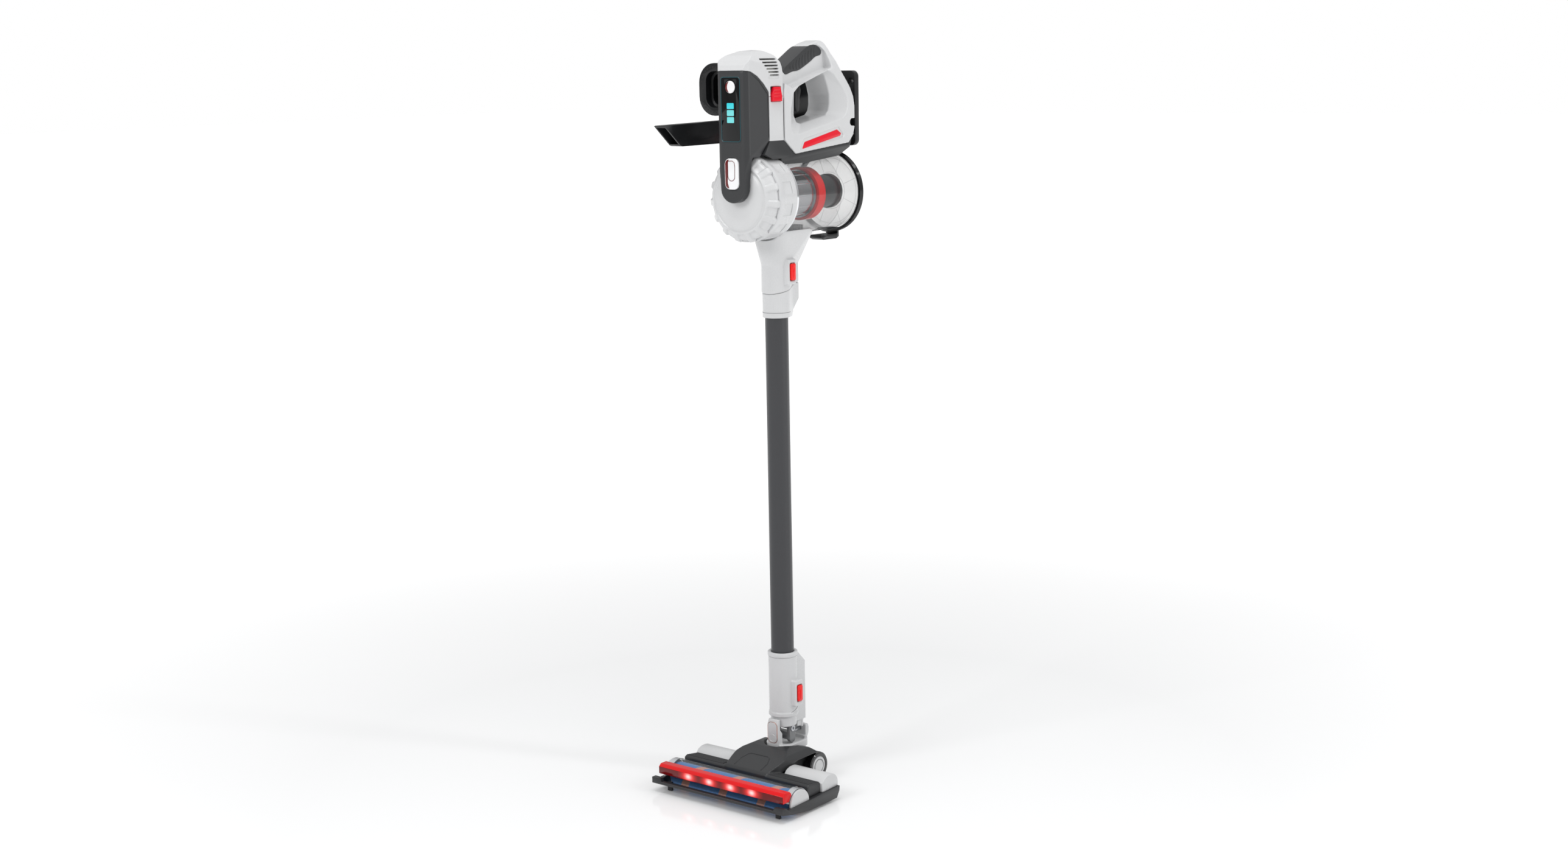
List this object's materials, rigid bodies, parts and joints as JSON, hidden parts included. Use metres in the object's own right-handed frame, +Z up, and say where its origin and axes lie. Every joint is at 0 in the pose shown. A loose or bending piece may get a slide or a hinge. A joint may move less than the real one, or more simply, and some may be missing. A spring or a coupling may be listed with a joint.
{
  "type": "cordless stick vacuum",
  "caption": "Upright battery stick vacuum with a see-through dust cup, wand, roller floor head, wall dock and spare tools; joints move as on the real one.",
  "frame": {"origin": "on the floor, under the middle of the footprint, which is also the axis of the wand", "axes": "+X to the user's right, -Y towards the front of the floor head, +Z up; the wall behind the dock is at the +Y end"},
  "size_m": [0.256, 0.33, 1.129],
  "materials": {
    "shell_white": "satin moulded, faint texture",
    "graphite": "fine grained satin",
    "black_plastic": "satin",
    "display_black": "high gloss",
    "button_white": "gloss",
    "clear_plastic": "clear polycarbonate",
    "red_plastic": "gloss",
    "red_lamp": "gloss, lit from inside",
    "flange_chrome": "polished",
    "mesh_steel": "perforated",
    "pin_steel": "turned",
    "tube_grey": "satin anodised grey",
    "knee_grey": "satin",
    "filter_felt": "pleated felt",
    "hepa_paper": "pleated paper",
    "roller_fabric": "soft plush with helical stripes",
    "core_aluminium": "extruded",
    "winding_brass": "varnished windings",
    "contact_brass": "plated",
    "motor_black": "satin",
    "board_green": "solder mask",
    "cell_green": "shrink wrap",
    "tyre_black": "gloss black tread"
  },
  "bodies": {
    "dock": {"dock_plate": "black_plastic", "dock_hook": "black_plastic", "dock_contacts": "contact_brass", "tool_pegs": "black_plastic"},
    "dusting_brush": {"dusting_brush": "black_plastic"},
    "crevice_tool": {"crevice_tool": "black_plastic"},
    "knee": {"connector": "shell_white", "link_block": "knee_grey", "link_screw": "pin_steel"},
    "wand": {"wand_tube": "tube_grey", "wand_collar": "shell_white"},
    "cup": {"filter_housing": "shell_white", "pre_filter": "filter_felt", "flange_ring": "flange_chrome", "cup_shell": "clear_plastic", "cup_neck": "shell_white", "inlet_comb": "black_plastic", "mesh_filter": "mesh_steel", "filter_ring": "red_plastic", "cyclone_tube": "graphite"},
    "main_unit": {"body_column": "shell_white", "pod_shell": "graphite", "display_glass": "display_black", "motor_housing": "motor_black", "motor_frame": "winding_brass", "circuit_board": "board_green", "handle_shell": "shell_white", "grip_sleeve": "graphite", "grip_strip": "graphite", "side_windows": "red_plastic", "lower_housing": "graphite", "battery_cells": "cell_green"},
    "rotor": {"motor_rotor": "pin_steel", "impeller": "core_aluminium"},
    "power_button": {"power_button": "button_white"},
    "release_button": {"release_button": "button_white"},
    "trigger": {"trigger": "black_plastic"},
    "cover_latch": {"cover_latch": "red_plastic"},
    "exhaust_cover": {"exhaust_cover": "shell_white", "exhaust_filter": "hepa_paper"},
    "front_cap": {"front_cap": "shell_white"},
    "rear_lid": {"rear_lid": "clear_plastic", "lid_rim": "black_plastic", "lid_disc": "black_plastic"},
    "lid_latch": {"lid_latch": "black_plastic"},
    "neck_button": {"neck_button": "red_plastic"},
    "connector_button": {"connector_button": "red_plastic"},
    "yoke": {"neck_yoke": "shell_white", "lean_pin": "pin_steel"},
    "head": {"head_base": "graphite", "head_top": "graphite", "rear_bars": "shell_white", "roller_cover": "clear_plastic", "end_caps": "shell_white", "light_bar": "red_lamp", "roller_motor": "motor_black"},
    "roller": {"roller_core": "core_aluminium", "roller_sleeve": "roller_fabric"},
    "wheel_left": {"wheel_left": "tyre_black"},
    "wheel_right": {"wheel_right": "tyre_black"}
  },
  "joints": [
    {"name": "undock", "type": "slide", "parent": "dock", "child": "knee", "axis": [0, 0, 1], "range_m": [0, 0.065]},
    {"name": "wand_release", "type": "slide", "parent": "knee", "child": "wand", "axis": [0, 0, 1], "range_m": [0, 0.038]},
    {"name": "cup_release", "type": "slide", "parent": "wand", "child": "cup", "axis": [0, 0, 1], "range_m": [0, 0.037]},
    {"name": "unit_release", "type": "slide", "parent": "cup", "child": "main_unit", "axis": [0, 0, 1], "range_m": [0, 0.06]},
    {"name": "cover_lift", "type": "slide", "parent": "main_unit", "child": "exhaust_cover", "axis": [0, 0, 1], "range_m": [0, 0.05]},
    {"name": "brush_pull", "type": "slide", "parent": "dock", "child": "dusting_brush", "axis": [0, -1, 0], "range_m": [0, 0.045]},
    {"name": "crevice_pull", "type": "slide", "parent": "dock", "child": "crevice_tool", "axis": [0, -1, 0], "range_m": [0, 0.045]},
    {"name": "power_press", "type": "slide", "parent": "main_unit", "child": "power_button", "axis": [0, 1, 0], "range_m": [0, 0.0015], "stiffness_N_per_m": 300, "springref_m": -0.002},
    {"name": "release_press", "type": "slide", "parent": "main_unit", "child": "release_button", "axis": [0, 1, 0], "range_m": [0, 0.002], "stiffness_N_per_m": 300, "springref_m": -0.002},
    {"name": "trigger_pull", "type": "slide", "parent": "main_unit", "child": "trigger", "axis": [0, -1, 0], "range_m": [0, 0.0028], "stiffness_N_per_m": 400, "springref_m": -0.002},
    {"name": "latch_press", "type": "slide", "parent": "main_unit", "child": "cover_latch", "axis": [-1, 0, 0], "range_m": [0, 0.0015], "stiffness_N_per_m": 300, "springref_m": -0.002},
    {"name": "rotor_spin", "type": "hinge", "parent": "main_unit", "child": "rotor", "pos_m": [0, -0.036, 1.015], "axis": [0, 0, 1], "continuous": true},
    {"name": "cap_twist", "type": "hinge", "parent": "cup", "child": "front_cap", "pos_m": [0, -0.07, 0.902], "axis": [0, 1, 0], "range_deg": [0, 25]},
    {"name": "lid_swing", "type": "hinge", "parent": "cup", "child": "rear_lid", "pos_m": [0, 0.133, 0.9635], "axis": [1, 0, 0], "range_deg": [0, 80]},
    {"name": "lid_latch_swing", "type": "hinge", "parent": "cup", "child": "lid_latch", "pos_m": [0, 0.104, 0.834], "axis": [1, 0, 0], "range_deg": [-12, 0], "stiffness_Nm_per_rad": 0.2, "springref_deg": 8.59},
    {"name": "neck_press", "type": "slide", "parent": "cup", "child": "neck_button", "axis": [-1, 0, 0], "range_m": [0, 0.002], "stiffness_N_per_m": 300, "springref_m": -0.002},
    {"name": "connector_press", "type": "slide", "parent": "knee", "child": "connector_button", "axis": [-1, 0, 0], "range_m": [0, 0.002], "stiffness_N_per_m": 300, "springref_m": -0.002},
    {"name": "head_lean", "type": "hinge", "parent": "knee", "child": "yoke", "pos_m": [0, 0, 0.071], "axis": [0, 1, 0], "range_deg": [-35, 35]},
    {"name": "head_pitch", "type": "hinge", "parent": "yoke", "child": "head", "pos_m": [0, 0, 0.042], "axis": [1, 0, 0], "range_deg": [0, 70]},
    {"name": "roller_spin", "type": "hinge", "parent": "head", "child": "roller", "pos_m": [0, -0.12, 0.0185], "axis": [1, 0, 0], "continuous": true},
    {"name": "wheel_left_spin", "type": "hinge", "parent": "head", "child": "wheel_left", "pos_m": [-0.043, 0.023, 0.0225], "axis": [1, 0, 0], "continuous": true},
    {"name": "wheel_right_spin", "type": "hinge", "parent": "head", "child": "wheel_right", "pos_m": [0.043, 0.023, 0.0225], "axis": [1, 0, 0], "continuous": true}
  ]
}
